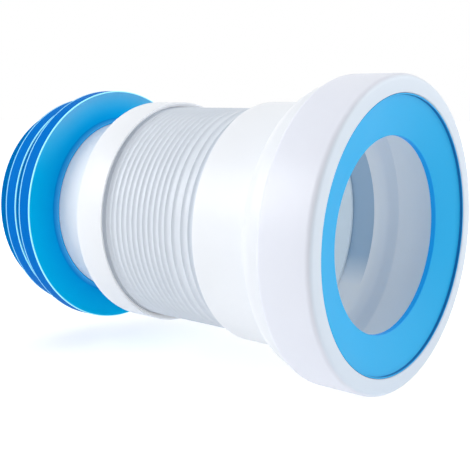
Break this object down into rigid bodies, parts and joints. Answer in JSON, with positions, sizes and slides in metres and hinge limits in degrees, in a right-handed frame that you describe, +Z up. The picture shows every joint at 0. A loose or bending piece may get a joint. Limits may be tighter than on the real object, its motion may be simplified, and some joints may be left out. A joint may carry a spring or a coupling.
{
  "type": "toilet pan connector",
  "caption": "Flexible toilet pan connector: white socket with a soft blue seal, grey corrugated bellows, and a spigot with soft blue fins that pushes into a soil pipe.",
  "frame": {"origin": "centre of the pan seal's hole, at the front edge of its lip", "axes": "+X along the axis, out of the mouth towards the toilet; +Z up as it is fitted, with the axis level; the soil pipe is at -X"},
  "size_m": [0.2093, 0.1344, 0.1344],
  "materials": {
    "white_polypropylene": "moulded, soft gloss",
    "grey_polyethylene": "moulded, satin",
    "blue_elastomer": "moulded, satin"
  },
  "bodies": {
    "pan_end": {"socket_body": "white_polypropylene", "retaining_ring": "white_polypropylene", "pan_seal": "blue_elastomer"},
    "bellows_mid": {"bellows": "grey_polyethylene"},
    "soil_end": {"spigot": "white_polypropylene", "finned_seal": "blue_elastomer"}
  },
  "joints": [
    {"name": "bellows_extend", "type": "slide", "parent": "pan_end", "child": "bellows_mid", "axis": [-1, 0, 0], "range_m": [0, 0.028], "deforming": ["bellows"]},
    {"name": "bellows_bend", "type": "hinge", "parent": "bellows_mid", "child": "soil_end", "pos_m": [-0.104, 0, 0], "axis": [0, 1, 0], "range_deg": [-12, 12], "deforming": ["bellows"]}
  ]
}
